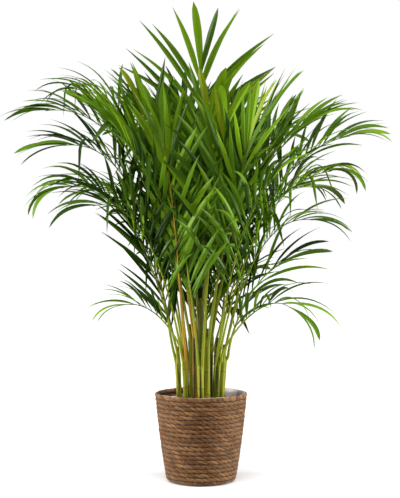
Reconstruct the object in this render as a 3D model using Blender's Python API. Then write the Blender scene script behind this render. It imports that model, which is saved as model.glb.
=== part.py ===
"""Potted areca palm: a clump of canes in a lined rope basket, with arching feather fronds.

Metres, +Z up, the middle of the basket's underside at the origin, +X to the right and +Y to the back.
Every frond grows from the flat top of a cane. Its rib is one smooth curve from there to a named end, and
its leaflets stand in pairs on the outer part of the rib. Ribs are eased apart where they would touch, and
a leaflet that would touch anything is turned or shortened, or left off.
"""

import math
from typing import NamedTuple

import bmesh
import bpy
import numpy as np
from mathutils import Vector
from mathutils.bvhtree import BVHTree

# Basket, liner and soil
BASKET_HEIGHT = 0.236
BASKET_RIM_RADIUS = 0.1248
BASKET_FOOT_RADIUS = 0.0935
BASKET_WALL = 0.009
BASKET_FLOOR = 0.010
BASKET_BELLY = 0.003
FOOT_ROUNDING = 0.011
RIM_ROUNDING = 0.004
FLOOR_CORNER = 0.022
LINER_WALL = 0.0012
LINER_TOP = 0.228
SOIL_TOP = 0.205
SOIL_EDGE = 0.006
GAP = 0.0004
ROUND_STEPS = 32

# Canes: an inner group stands taller than the outer ring, and every cane leans out by the same share
CANE_LEAN = 0.08
CANE_SIDES = 8
CANE_TOP_RADIUS = 0.0080
CANE_SHAPE = ((0, 0.0105), (0.06, 0.0088), (0.18, 0.0076), (0.86, 0.0076), (1, CANE_TOP_RADIUS))

# Stalks and ribs
STALK_RADIUS = 0.0036
RIB_END_RADIUS = 0.0013
STALK_OFFSET = 0.0046
STALK_GAP = 0.0007
STALK_RINGS = 5
START_SPREAD = 0.16
START_HANDLE = 0.34
END_HANDLE = 0.33
PATH_POINTS = 81

# Easing the ribs apart
RIB_CLEARANCE = 0.0045
HELD_START = 0.03
EASED_FROM = 0.12
EASE_REACH = 0.03
EASE_ROUNDS = 60
EASE_DONE = 2e-5
GOLDEN_TURN = 137.5

# Leaflets: a step is a share of the length, the width there as a share, and the part of the droop before it
LEAFLET_STEPS = ((0.30, 1.0, 0.0), (0.36, 0.72, 0.5))
LEAFLET_THICKNESS = 0.0022
LEAFLET_ROOT = 0.008
LEAFLET_MARGIN = 0.0005
ROOM_START = 0.28
ROOM_START_WIDTH = 0.36
LEAFLET_BREADTH = 1.3
PAIR_SPACING = 0.037
LAST_PAIR = 0.985
FEWEST_PAIRS = 6
FORWARD_BIAS = 4.0
TIP_SHORTENING = 0.33
BASE_SHORTENING = 0.22
STEEPEST_FALL = -86
SEED = 7

# A leaflet without room is tried again: degrees outward, degrees raised, and the share of its length
TRIES = ((0, 0, 1.0), (9, 4, 1.0), (-7, 8, 1.0), (0, 16, 1.0), (8, -12, 1.0), (-6, 24, 0.9),
         (14, 12, 0.85), (0, 0, 0.75), (10, 28, 0.7), (0, -20, 0.7), (0, 10, 0.55))


class Cane(NamedTuple):
    """The compass angle and distance of a cane's foot from the pot's middle, and the height of its top."""

    angle: float
    distance: float
    top: float


class Frond(NamedTuple):
    """Where a rib ends and how its leaflets stand.

    The rib ends at the compass angle, reach and height given, and climbs at the pitch there. A leaflet
    droops by so many degrees. Bare is the share of the rib below the first leaflets, roll turns the blade
    about the rib, and raised lifts its two sides into a V. Forward is the leaflets' angle to the rib at the
    base and at the end.
    """

    cane: str
    angle: float
    reach: float
    height: float
    pitch: float
    leaflet: float = 0.22
    droop: float = 45
    bare: float = 0.50
    roll: float = 0
    raised: float = 32
    width: float = 0.016
    forward: tuple = (46, 14)


CANES = {
    "cane_right": Cane(0, 0.056, 0.315),
    "cane_back_right": Cane(42, 0.054, 0.33),
    "cane_back": Cane(88, 0.050, 0.36),
    "cane_back_left": Cane(135, 0.055, 0.33),
    "cane_left": Cane(180, 0.057, 0.31),
    "cane_front_left": Cane(222, 0.054, 0.32),
    "cane_front": Cane(268, 0.048, 0.305),
    "cane_front_right": Cane(318, 0.054, 0.31),
    "cane_inner_right": Cane(20, 0.026, 0.38),
    "cane_inner_back": Cane(95, 0.024, 0.42),
    "cane_inner_left": Cane(165, 0.026, 0.37),
    "cane_inner_front_left": Cane(235, 0.025, 0.38),
    "cane_inner_front_right": Cane(305, 0.025, 0.36),
    "cane_middle": Cane(0, 0.000, 0.44),
}

FRONDS = {
    "frond_top": Frond("cane_middle", 0, 0.0, 1.105, 86, 0.290, 20, 0.48, -90, 8, 0.019, (44, 7)),
    "frond_top_left": Frond("cane_inner_front_left", 199, 0.170, 0.985, 60, 0.24, 30, 0.44, -15, 25,
                            0.021, (36, 12)),
    "frond_top_behind": Frond("cane_inner_back", 112, 0.140, 1.00, 70, 0.25, 20, 0.26, 0, 20,
                              0.018, (32, 10)),
    "frond_left_high": Frond("cane_inner_left", 176, 0.425, 1.00, -8, 0.210, 35, 0.45, 12, width=0.013),
    "frond_left_high_back": Frond("cane_back_left", 158, 0.385, 1.075, 5, 0.200, 50, 0.50, width=0.011),
    "frond_left_middle": Frond("cane_left", 184, 0.370, 0.90, -8, 0.215, 40, 0.40, 20, width=0.0135),
    "frond_left_low": Frond("cane_left", 186, 0.375, 0.785, -18, 0.205, 60, 0.38, 20, width=0.014),
    "frond_left_front_low": Frond("cane_front_left", 203, 0.305, 0.735, -14, 0.205, 50, 0.36, width=0.014),
    "frond_left_inner": Frond("cane_inner_left", 190, 0.250, 0.96, 42, 0.25, 35, 0.36, 10, 28,
                              0.020, (36, 12)),
    "frond_left_steep": Frond("cane_left", 169, 0.185, 0.68, 58, 0.22, 14, 0.26, 45, 15, 0.015, (28, 9)),
    "frond_left_foot": Frond("cane_front_left", 196, 0.205, 0.475, -10, 0.165, 45, 0.48, width=0.009),
    "frond_right_high": Frond("cane_inner_front_right", 344, 0.195, 0.985, 55, 0.215, 20, 0.42, -10, 25,
                              0.017, (34, 11)),
    "frond_right_high_back": Frond("cane_inner_right", 27, 0.245, 0.96, 60, 0.21, 20, 0.32, 0, 25,
                                   0.017, (34, 11)),
    "frond_right_upper": Frond("cane_inner_right", 8, 0.300, 0.965, 32, 0.235, 40, 0.40, -15, 30,
                               0.016, (38, 12)),
    "frond_right_arch": Frond("cane_right", 3, 0.405, 0.93, 10, 0.215, 40, 0.44, -20, width=0.0135),
    "frond_right_front": Frond("cane_front_right", 340, 0.360, 0.825, 5, 0.20, 75, 0.40, -10, width=0.012),
    "frond_right_middle": Frond("cane_right", 352, 0.300, 0.70, -10, 0.20, 45, 0.40, -15, width=0.012),
    "frond_right_low": Frond("cane_right", 356, 0.215, 0.585, 32, 0.235, 42, 0.30, -30, 15,
                             0.014, (36, 12)),
    "frond_right_foot": Frond("cane_front_right", 332, 0.262, 0.470, -38, 0.20, 68, 0.46, width=0.012),
    "frond_front_high": Frond("cane_inner_front_right", 277, 0.150, 0.945, 76, 0.25, 18, 0.42, 10, 15,
                              0.022, (32, 10)),
    "frond_front_left": Frond("cane_front_left", 243, 0.210, 0.89, 68, 0.25, 20, 0.38, 20, 15,
                              0.023, (30, 10)),
    "frond_front_right": Frond("cane_inner_front_right", 304, 0.220, 0.90, 66, 0.25, 20, 0.42, -20, 15,
                               0.021, (30, 10)),
    "frond_front_arch": Frond("cane_front", 284, 0.250, 0.92, 58, 0.23, 25, 0.45, -25, 20, 0.018, (34, 12)),
    "frond_front_arch_left": Frond("cane_inner_front_left", 224, 0.280, 0.91, 40, 0.235, 35, 0.38, 20, 25,
                                   0.018, (36, 12)),
    "frond_front_low_right": Frond("cane_front_right", 310, 0.280, 0.80, 38, 0.22, 40, 0.40, -20, 25,
                                   0.015, (38, 12)),
    "frond_front_low": Frond("cane_front", 248, 0.160, 0.76, 74, 0.23, 16, 0.40, 25, 15, 0.020, (28, 9)),
    "frond_back_high": Frond("cane_inner_back", 70, 0.220, 1.00, 58, 0.24, 30, 0.24, 0, 22,
                             0.018, (32, 10)),
    "frond_back_high_left": Frond("cane_back_left", 128, 0.330, 0.95, 15, 0.22, 40, 0.34, width=0.014),
    "frond_back_high_right": Frond("cane_back_right", 48, 0.330, 0.95, 15, 0.22, 40, 0.34, width=0.014),
    "frond_back_arch": Frond("cane_back", 96, 0.390, 0.86, -5, 0.21, 45, 0.36, width=0.014),
    "frond_back_arch_right": Frond("cane_back_right", 30, 0.370, 0.80, -5, 0.21, 50, 0.34, width=0.013),
    "frond_back_arch_left": Frond("cane_back_left", 145, 0.360, 0.79, -8, 0.21, 50, 0.34, width=0.013),
    "frond_back_low": Frond("cane_back", 62, 0.220, 0.74, 55, 0.23, 20, 0.14, 0, 20, 0.019, (30, 10)),
    "frond_back_low_left": Frond("cane_back", 125, 0.200, 0.72, 58, 0.23, 20, 0.17, 0, 20, 0.019, (30, 10)),
    "frond_back_foot_right": Frond("cane_back_right", 58, 0.240, 0.55, 15, 0.19, 45, 0.30, width=0.014),
}


def compass(angle, pitch=0.0):
    """The unit direction at a compass angle, counted from +X towards +Y, and a pitch above the level."""
    turn, climb = math.radians(angle), math.radians(pitch)
    return np.array([math.cos(turn) * math.cos(climb), math.sin(turn) * math.cos(climb), math.sin(climb)])


def unit(vectors):
    return vectors / np.maximum(np.linalg.norm(vectors, axis=-1, keepdims=True), 1e-9)


def path_length(path):
    return np.linalg.norm(np.diff(path, axis=0), axis=1).sum()


def cane_ends(cane):
    """The foot and the top of a cane's middle line."""
    out = compass(cane.angle) * cane.distance
    return out + [0, 0, SOIL_TOP], out * (1 + CANE_LEAN) + [0, 0, cane.top]


def stalk_offset(name):
    """The way from a cane's middle to where a frond leaves its top, which its fronds share out evenly."""
    cane = CANES[FRONDS[name].cane]
    turns = {mate: (frond.angle - cane.angle + 180) % 360 - 180
             for mate, frond in FRONDS.items() if frond.cane == FRONDS[name].cane}
    if len(turns) == 1:
        return np.zeros(3)
    place = sorted(turns, key=turns.get).index(name) - (len(turns) - 1) / 2
    return compass(cane.angle + sum(turns.values()) / len(turns) + 360 * place / len(turns)) * STALK_OFFSET


def rib_path(name):
    """A rib's evenly spaced points, on a cubic curve between two directions.

    It leaves the cane's direction a little towards its own side, and ends in its own direction.
    """
    frond = FRONDS[name]
    foot, top = cane_ends(CANES[frond.cane])
    up = unit(top - foot)
    start = top + [0, 0, STALK_GAP] + stalk_offset(name)
    end = compass(frond.angle) * frond.reach + [0, 0, frond.height]
    chord = np.linalg.norm(end - start)
    near = start + unit(up + START_SPREAD * compass(frond.angle)) * chord * START_HANDLE
    far = end - compass(frond.angle, frond.pitch) * chord * END_HANDLE
    t = np.linspace(0, 1, 4 * PATH_POINTS)[:, None]
    curve = (1 - t) ** 3 * start + 3 * (1 - t) ** 2 * t * near + 3 * (1 - t) * t ** 2 * far + t ** 3 * end
    walked = np.concatenate([[0], np.cumsum(np.linalg.norm(np.diff(curve, axis=0), axis=1))])
    even = np.linspace(0, walked[-1], PATH_POINTS)
    return np.stack([np.interp(even, walked, curve[:, axis]) for axis in range(3)], axis=1)


def rib_radius(share):
    """The stalk thins steadily towards the rib's end."""
    return STALK_RADIUS + (RIB_END_RADIUS - STALK_RADIUS) * share ** 0.8


def ease_apart(paths):
    """Push the ribs off each other and off the canes, a little at a time, with their starts held."""
    share = np.linspace(0, 1, PATH_POINTS)
    radius = rib_radius(share)
    hold = np.clip((share - HELD_START) / (EASED_FROM - HELD_START), 0, 1)
    rows = np.arange(PATH_POINTS)
    lines = list(paths)
    for cane in CANES.values():
        foot, top = cane_ends(cane)
        lines.append(foot + (top - foot) * share[:, None])
    widths = [radius] * len(paths) + [np.full(PATH_POINTS, CANE_TOP_RADIUS)] * len(CANES)

    def nearest(i, j):
        apart = lines[i][:, None, :] - lines[j][None, :, :]
        squares = np.einsum("abk,abk->ab", apart, apart)
        near = squares.argmin(axis=1)
        return apart[rows, near], np.sqrt(squares[rows, near]), widths[j][near]

    close = [(i, j) for i in range(len(paths)) for j in range(len(lines))
             if i != j and nearest(i, j)[1].min() < EASE_REACH]
    for _ in range(EASE_ROUNDS):
        pushes = [np.zeros_like(path) for path in paths]
        for i, j in close:
            apart, far, width = nearest(i, j)
            short = np.clip(radius + width + RIB_CLEARANCE - far, 0, None) * hold
            along = unit(np.gradient(lines[i], axis=0))
            across = apart - (apart * along).sum(axis=1)[:, None] * along + compass(GOLDEN_TURN * i) * 1e-6
            pushes[i] += unit(across) * short[:, None] * 0.5
        for i, push in enumerate(pushes):
            for _ in range(4):
                push[1:-1] = push[1:-1] * 0.5 + (push[:-2] + push[2:]) * 0.25
            lines[i] = lines[i] + push * np.sqrt(hold)[:, None]
        if max(np.abs(push).max() for push in pushes) < EASE_DONE:
            break
    return lines[:len(paths)]


def rib_frame(path, frond):
    """The directions along a rib, to its right side and to its upper side, at every point."""
    along = unit(np.gradient(path, axis=0))
    level = compass(frond.angle - 90)
    side = unit(level - (along @ level)[:, None] * along)
    upper = np.cross(side, along)
    turn = math.radians(frond.roll)
    right = side * math.cos(turn) + upper * math.sin(turn)
    return along, right, upper * math.cos(turn) - side * math.sin(turn)


def read_path(values, share):
    """The value of a rib's array at a share of its length."""
    place = share * (PATH_POINTS - 1)
    low = min(int(place), PATH_POINTS - 2)
    return values[low] * (1 - place + low) + values[low + 1] * (place - low)


def bent(direction, droop):
    """A direction turned down by an angle, less so the steeper it already stands."""
    flat = math.hypot(direction[0], direction[1])
    pitch = math.degrees(math.atan2(direction[2], flat))
    turn = math.degrees(math.atan2(direction[1], direction[0]))
    return compass(turn, max(pitch - droop * math.sqrt(flat), STEEPEST_FALL))


def leaflet_shape(root, direction, ahead, length, width, droop):
    """A leaflet's sections, each as its middle, half width and half thickness, and the leaflet's point.

    The leaflet leaves its root in the given direction and bends down from section to section.
    """
    sections, here = [], root
    wide = ahead - (ahead @ direction) * direction
    for share, part, bend in LEAFLET_STEPS:
        here = here + bent(direction, droop * bend) * length * share
        facing = bent(direction, droop * (bend + 0.25))
        wide = unit(wide - (wide @ facing) * facing)
        face = np.cross(wide, facing)
        sections.append((here, wide * width * part / 2, face * LEAFLET_THICKNESS / 2))
    rest = 1 - sum(share for share, _, _ in LEAFLET_STEPS)
    return sections, here + bent(direction, droop) * length * rest


def square(middle, wide, thick):
    """The four corners of a section, in order round it."""
    return [middle + sign * wide + lift * thick for sign, lift in ((-1, -1), (-1, 1), (1, 1), (1, -1))]


def loose_leaflet(root, sections, point, start, grow):
    """A leaflet's corners from a share of its first step to its point, fatter all round by the growth."""
    first, wide, thick = sections[0]
    start = root + (first - root) * start, wide * ROOM_START_WIDTH, thick * 1.5
    corners = []
    for middle, wide, thick in [start] + sections:
        corners += square(middle, wide + unit(wide) * grow, thick + unit(thick) * grow)
    return corners + [point]


def loose_faces():
    """The faces of a leaflet's corners: its root end, its four sides and the four sides of its point."""
    last = 4 * len(LEAFLET_STEPS)
    faces = [(3, 2, 1, 0)]
    faces += [(r + k, r + (k + 1) % 4, r + (k + 1) % 4 + 4, r + k + 4)
              for r in range(0, last, 4) for k in range(4)]
    return faces + [(last + k, last + (k + 1) % 4, last + 4) for k in range(4)]


class Space:
    """What has been placed so far, as search trees with their boxes."""

    def __init__(self):
        self.trees, self.owners, self.low, self.high = [], [], [], []

    def add(self, owner, corners, faces):
        self.trees.append(BVHTree.FromPolygons([Vector(corner) for corner in corners], faces))
        self.owners.append(owner)
        self.low.append(np.min(corners, axis=0))
        self.high.append(np.max(corners, axis=0))

    def touches(self, owner, own, corners, faces):
        """Whether a shape touches what its owner has placed, or else what the others have."""
        low, high = np.min(corners, axis=0), np.max(corners, axis=0)
        close = np.all((np.array(self.low) < high) & (np.array(self.high) > low), axis=1)
        tree = BVHTree.FromPolygons([Vector(corner) for corner in corners], faces)
        near = [k for k in np.flatnonzero(close) if (self.owners[k] == owner) == own]
        return any(tree.overlap(self.trees[k]) for k in near)


def tube(path, radii, sides, across, over):
    """Corners and faces of a closed tapering tube along a path, with its rings in two given directions."""
    angles = np.arange(sides) * 2 * math.pi / sides
    corners = [point + radius * (math.cos(a) * x + math.sin(a) * y)
               for point, radius, x, y in zip(path, radii, across, over) for a in angles]
    last = (len(path) - 1) * sides
    faces = [(r + k, r + (k + 1) % sides, r + sides + (k + 1) % sides, r + sides + k)
             for r in range(0, last, sides) for k in range(sides)]
    return corners, faces + [tuple(reversed(range(sides))), tuple(range(last, last + sides))]


def fitted_leaflet(frond, root, ahead, out, over, forward, length, droop, space):
    """A leaflet turned or shortened until it touches nothing, or None."""
    faces = loose_faces()
    for turn, lift, part in TRIES:
        opened, raised = math.radians(forward + turn), math.radians(frond.raised + lift)
        away = out * math.cos(raised) + over * math.sin(raised)
        direction = unit(ahead * math.cos(opened) + away * math.sin(opened))
        shape = leaflet_shape(root, direction, ahead, length * part,
                              frond.width * LEAFLET_BREADTH, droop)
        outer = loose_leaflet(root, *shape, ROOM_START, LEAFLET_MARGIN)
        whole = loose_leaflet(root, *shape, 0, LEAFLET_MARGIN)
        if not space.touches(frond, True, outer, faces) and not space.touches(frond, False, whole, faces):
            space.add(frond, loose_leaflet(root, *shape, 0, 0), faces)
            return shape
    return None


def leaflet_pairs(frond, path, space, draw):
    """A frond's leaflets from its end down: each pair's share along the rib, and its two shapes."""
    along, side, upper = rib_frame(path, frond)
    count = max(FEWEST_PAIRS, round(path_length(path) * (1 - frond.bare) / PAIR_SPACING))
    base_forward, end_forward = frond.forward
    pairs = []
    for place in np.linspace(1, 0, count):
        share = frond.bare + (LAST_PAIR - frond.bare) * place
        root, ahead = read_path(path, share), unit(read_path(along, share))
        out, over = unit(read_path(side, share)), unit(read_path(upper, share))
        forward = base_forward + (end_forward - base_forward) * place ** FORWARD_BIAS
        length = frond.leaflet * (1 - TIP_SHORTENING * place ** 5 - BASE_SHORTENING * (1 - place) ** 5)
        pair = []
        for sign in (-1, 1):
            stray, stretch, sag = draw.normal(0, 3), draw.uniform(0.92, 1.06), draw.uniform(0.75, 1.25)
            pair.append(fitted_leaflet(frond, root, ahead, out * sign, over, forward + stray,
                                       length * stretch, frond.droop * sag, space))
        pairs.append((share, pair))
    return pairs


def frond_mesh(frond, path, pairs):
    """One closed skin: a stalk and rib with a ridge on top, and leaflets drawn out of the ridge's sides."""
    along, side, upper = rib_frame(path, frond)
    half = LEAFLET_ROOT / 2 / path_length(path)
    stations = list(np.linspace(0, frond.bare - 3 * half, STALK_RINGS))
    drawn = [(None, None)] * STALK_RINGS
    for share, pair in reversed(pairs):
        stations += [share - half, share + half]
        drawn += [pair, (None, None)]
    mesh = bmesh.new()
    rings = []
    for share in stations:
        here, radius = read_path(path, share), rib_radius(share)
        out, over = unit(read_path(side, share)), unit(read_path(upper, share))
        rings.append([mesh.verts.new(here + radius * (math.sin(a) * out + math.cos(a) * over))
                      for a in np.radians([0, 120, 240])])
    mesh.faces.new(rings[0][::-1])
    mesh.faces.new(rings[-1])
    for first, second, (left, right) in zip(rings, rings[1:], drawn):
        draw_out(mesh, [first[0], first[1], second[1], second[0]], right)
        mesh.faces.new([first[1], first[2], second[2], second[1]])
        draw_out(mesh, [first[2], first[0], second[0], second[2]], left)
    return mesh


def draw_out(mesh, root, shape):
    """Close a side of the rib with a plain face, or with a leaflet that starts on that side's four corners.

    The corners run round the leaflet as its sections' corners do, so every face points out.
    """
    if shape is None:
        mesh.faces.new(root)
        return
    sections, point = shape
    ring = root
    for section in sections:
        following = [mesh.verts.new(corner) for corner in square(*section)]
        for k in range(4):
            mesh.faces.new([ring[k], ring[(k + 1) % 4], following[(k + 1) % 4], following[k]])
        ring = following
    tip = mesh.verts.new(point)
    for k in range(4):
        mesh.faces.new([ring[k], ring[(k + 1) % 4], tip])


def cane_tube(cane):
    """A cane of level rings: a flared foot just on the soil, a waist, and a wider top for its stalks."""
    foot, top = cane_ends(cane)
    foot = foot + [0, 0, GAP]
    share, radii = np.array(CANE_SHAPE).T
    path = foot + (top - foot) * share[:, None]
    across, over = (np.tile(compass(angle), (len(path), 1)) for angle in (0, 90))
    return tube(path, radii, CANE_SIDES, across, over)


def turned(profile):
    """A closed outline of radii and heights turned about the pot's middle line."""
    mesh = bmesh.new()
    verts = [mesh.verts.new((radius, 0, height)) for radius, height in profile]
    for first, second in zip(verts, verts[1:]):
        mesh.edges.new((first, second))
    bmesh.ops.spin(mesh, geom=mesh.verts[:] + mesh.edges[:], axis=(0, 0, 1), cent=(0, 0, 0),
                   steps=ROUND_STEPS, angle=2 * math.pi, use_merge=True)
    bmesh.ops.remove_doubles(mesh, verts=mesh.verts, dist=1e-6)
    bmesh.ops.recalc_face_normals(mesh, faces=mesh.faces)
    return mesh


def basket_radius(height):
    """The basket's outer radius: an even taper with a slight belly."""
    share = height / BASKET_HEIGHT
    taper = BASKET_RIM_RADIUS - BASKET_FOOT_RADIUS
    return BASKET_FOOT_RADIUS + taper * share + BASKET_BELLY * math.sin(math.pi * share)


def basket_profile():
    """The basket's outline: its floor, rounded foot, outer wall, rolled rim, inner wall and inside floor."""
    foot_radius = basket_radius(FOOT_ROUNDING)
    foot = [(foot_radius - FOOT_ROUNDING * (1 - math.sin(a)), FOOT_ROUNDING * (1 - math.cos(a)))
            for a in np.radians([0, 30, 60, 90])]
    shoulder = BASKET_HEIGHT - RIM_ROUNDING
    outer = [(basket_radius(height), height) for height in np.linspace(0.05, shoulder, 4)]
    inner = [(basket_radius(height) - BASKET_WALL, height)
             for height in np.linspace(shoulder, FLOOR_CORNER + 0.01, 4)]
    rim = [(basket_radius(BASKET_HEIGHT) - BASKET_WALL * part, BASKET_HEIGHT) for part in (0.25, 0.75)]
    corner = basket_radius(FLOOR_CORNER) - BASKET_WALL - RIM_ROUNDING
    return [(0, 0)] + foot + outer + rim + inner + [(corner, BASKET_FLOOR), (0, BASKET_FLOOR)]


def cup_wall(clearance, low, high):
    """The outline of something that fits the basket's inside with a clearance, from a low to a high level."""
    corner = basket_radius(FLOOR_CORNER) - BASKET_WALL - RIM_ROUNDING - clearance
    heights = np.linspace(FLOOR_CORNER + 0.01, high, 4)
    return [(corner, low)] + [(basket_radius(height) - BASKET_WALL - clearance, height) for height in heights]


def liner_profile():
    """A thin cup that lines the basket from its floor to just under its rim."""
    low = BASKET_FLOOR + GAP
    outer = cup_wall(GAP, low, LINER_TOP)
    inner = cup_wall(GAP + LINER_WALL, low + LINER_WALL, LINER_TOP)
    return [(0, low)] + outer + inner[::-1] + [(0, low + LINER_WALL)]


def soil_profile():
    """The soil that fills the liner, with a softened edge."""
    low = BASKET_FLOOR + LINER_WALL + 2 * GAP
    outer = cup_wall(2 * GAP + LINER_WALL, low, SOIL_TOP - SOIL_EDGE)
    return [(0, low)] + outer + [(outer[-1][0] - SOIL_EDGE, SOIL_TOP), (0, SOIL_TOP)]


def make_material(name, colour, roughness):
    material = bpy.data.materials.new(name)
    material.use_nodes = True
    shader = material.node_tree.nodes["Principled BSDF"]
    shader.inputs["Base Color"].default_value = (*colour, 1)
    shader.inputs["Roughness"].default_value = roughness
    shader.inputs["Metallic"].default_value = 0
    return material


def add_object(name, data, material):
    data.materials.append(material)
    bpy.context.scene.collection.objects.link(bpy.data.objects.new(name, data))


def mesh_from_bmesh(name, mesh):
    data = bpy.data.meshes.new(name)
    mesh.to_mesh(data)
    mesh.free()
    return data


def mesh_from_faces(name, corners, faces):
    data = bpy.data.meshes.new(name)
    data.from_pydata([tuple(corner) for corner in corners], [], faces)
    return data


def make_pot():
    """The basket, its liner and the soil, all turned."""
    rope = make_material("rope", (0.24, 0.13, 0.065), 0.85)
    film = make_material("liner_film", (0.75, 0.70, 0.66), 0.4)
    soil = make_material("soil", (0.035, 0.022, 0.015), 0.95)
    for name, profile, material in (("basket", basket_profile(), rope), ("liner", liner_profile(), film),
                                    ("soil", soil_profile(), soil)):
        data = mesh_from_bmesh(name, turned(profile))
        data.shade_smooth()
        data.set_sharp_from_angle(angle=math.radians(35))
        add_object(name, data, material)


def make_canes(space):
    skin = make_material("cane_skin", (0.30, 0.36, 0.05), 0.5)
    for name, cane in CANES.items():
        corners, faces = cane_tube(cane)
        space.add(cane, corners, faces)
        add_object(name, mesh_from_faces(name, corners, faces), skin)


def make_fronds(space):
    """All ribs are laid first, so that no leaflet of an early frond takes the place of a later rib."""
    leaf = make_material("leaf", (0.07, 0.19, 0.02), 0.45)
    paths = ease_apart([rib_path(name) for name in FRONDS])
    share = np.linspace(0, 1, PATH_POINTS)
    for frond, path in zip(FRONDS.values(), paths):
        _, side, upper = rib_frame(path, frond)
        space.add(frond, *tube(path[::2], rib_radius(share[::2]), 6, side[::2], upper[::2]))
    placed = 0
    for index, (name, frond) in enumerate(FRONDS.items()):
        pairs = leaflet_pairs(frond, paths[index], space, np.random.default_rng(SEED + index))
        placed += sum(shape is not None for _, pair in pairs for shape in pair)
        add_object(name, mesh_from_bmesh(name, frond_mesh(frond, paths[index], pairs)), leaf)
    print(f"{len(FRONDS)} fronds with {placed} leaflets")


def main():
    for thing in list(bpy.data.objects):
        bpy.data.objects.remove(thing)
    space = Space()
    make_pot()
    make_canes(space)
    make_fronds(space)


main()
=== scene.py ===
import math

import bpy
import numpy as np
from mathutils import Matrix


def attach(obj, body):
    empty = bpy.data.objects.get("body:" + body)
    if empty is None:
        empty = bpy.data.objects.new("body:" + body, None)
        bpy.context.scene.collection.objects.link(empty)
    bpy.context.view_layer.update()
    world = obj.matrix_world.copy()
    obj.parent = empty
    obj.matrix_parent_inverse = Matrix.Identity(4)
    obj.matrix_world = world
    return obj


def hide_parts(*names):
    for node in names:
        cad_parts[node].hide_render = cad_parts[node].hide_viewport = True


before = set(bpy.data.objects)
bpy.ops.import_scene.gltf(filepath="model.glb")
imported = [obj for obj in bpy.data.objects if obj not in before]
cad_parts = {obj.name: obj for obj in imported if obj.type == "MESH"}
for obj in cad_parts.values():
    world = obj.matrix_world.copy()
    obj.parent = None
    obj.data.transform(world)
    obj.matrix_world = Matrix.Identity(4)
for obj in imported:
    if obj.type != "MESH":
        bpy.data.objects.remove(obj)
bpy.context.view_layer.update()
print("frame loaded")

# Potted areca palm in a rope basket. Metres, +Z up, the basket's underside at z = 0, the viewer at -Y.

camera = {"place": (-0.003, -3.0, 0.623), "focalShare": 1111 / 498, "sensorHeight": 36.0}

basket = {
    "height": 0.236, "rimRadius": 0.1248, "footRadius": 0.0935, "belly": 0.003, "wall": 0.009,
    "floor": 0.010, "footRounding": 0.011, "rows": 20, "inRow": (0.0, 0.06, 0.20, 0.38, 0.60, 0.80, 0.94),
    "samplesRound": 520, "rowDepth": 0.0030, "strandLength": 0.0170, "strandSlant": 1.25,
    "strandDepth": 0.0016, "strandStray": 0.0006, "wander": 0.35, "slowSway": 0.0007, "fastSway": 0.0011,
    "underRings": 24, "underRows": 8.5, "underDepth": 0.0022, "underInset": 0.004,
    "rimTurns": (20, 45, 70, 95, 120, 150, 185), "rimDent": 0.0013, "rimStray": 0.0004,
    "innerRings": 14, "innerRowDepth": 0.0018,
}
liner = {
    "low": 0.190, "gap": 0.0012, "wall": 0.0006, "crumple": 0.0009, "lip": (0.0005, 0.0075),
    "overRim": 0.0007, "fray": 0.0012, "tuck": 0.0005, "dip": 0.020, "dipAt": 140, "dipWidth": 38,
    "down": (0.04, 0.12, 0.26, 0.5, 1.0), "paintedLightBelow": (0.25, 0.1, 0, 0, 0),
}
soil = {
    "top": 0.205, "bottom": 0.192, "sunk": 0.002, "edgeGap": 0.004, "lumps": 0.0035,
    "chips": 420, "chipLength": 0.011,
}
cane = {
    "lean": 0.08, "foot": 0.0105, "flare": (0.012, 0.0088), "waistHeight": 0.04, "waist": 0.0076,
    "top": 0.0080, "sleeve": 0.050, "sleeveEnd": 0.0042, "sunk": 0.004, "bow": 0.0015,
    "ringSpacing": 0.058, "ringHeight": 0.0007, "ringWidth": 0.0022, "edgeHeight": 0.0004, "edgeWidth": 0.004,
    "samples": 90, "sides": 14,
}
stalk = {
    "radius": 0.0036, "endRadius": 0.0011, "footExtra": 0.0014, "footLength": 0.06, "offset": 0.0046,
    "gap": 0.0007, "spread": 0.16, "startHandle": 0.34, "endHandle": 0.33, "points": 81, "sides": 8,
    "groove": 0.28, "sheath": 0.075, "sheathPoints": 8, "sheathThinning": 0.45, "greenFrom": 0.62,
}
easing = {
    "endRadius": 0.0013, "clearance": 0.0045, "heldStart": 0.03, "easedFrom": 0.12, "reach": 0.03,
    "rounds": 60, "done": 2e-5, "ownTurn": 137.5,
}
leaflet = {
    "lastPair": 0.985, "fewestPairs": 8, "forwardBias": 4.0, "tipShortening": 0.33, "baseShortening": 0.22,
    "steepest": -86, "stations": 11, "thickness": 0.0007, "fold": 24, "endWidth": 1.3, "seed": 7,
    "lengths": (0.90, 1.06), "widths": (0.80, 1.05), "droops": (0.7, 1.35), "bendPowers": (1.0, 2.0),
    "placeStray": 0.008, "angleStray": 3.5, "liftStray": 9, "turnStray": 0.10, "twistStray": 0.35,
    "bentOver": 0.07, "bentFrom": 0.22, "bentOverLength": 0.40, "bentDroop": 150, "bentNeedsDroop": 30,
    "slimAt": (0, 0.06, 0.18, 0.36, 0.60, 0.80, 0.92, 1),
    "slim": (0.16, 0.30, 0.72, 1.0, 0.88, 0.52, 0.22, 0.02),
    "bluntAt": (0, 0.10, 0.30, 0.62, 0.84, 0.95, 1),
    "blunt": (0.20, 0.42, 0.80, 1.0, 0.82, 0.45, 0.04),
}

# cane: compass angle and distance of its foot from the middle of the pot, height of its top
canes = {
    "cane_right": (0, 0.056, 0.315), "cane_back_right": (42, 0.054, 0.33), "cane_back": (88, 0.050, 0.36),
    "cane_back_left": (135, 0.055, 0.33), "cane_left": (180, 0.057, 0.31),
    "cane_front_left": (222, 0.054, 0.32), "cane_front": (268, 0.048, 0.305),
    "cane_front_right": (318, 0.054, 0.31), "cane_inner_right": (20, 0.026, 0.38),
    "cane_inner_back": (95, 0.024, 0.42), "cane_inner_left": (165, 0.026, 0.37),
    "cane_inner_front_left": (235, 0.025, 0.38), "cane_inner_front_right": (305, 0.025, 0.36),
    "cane_middle": (0, 0.000, 0.44),
}


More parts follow.
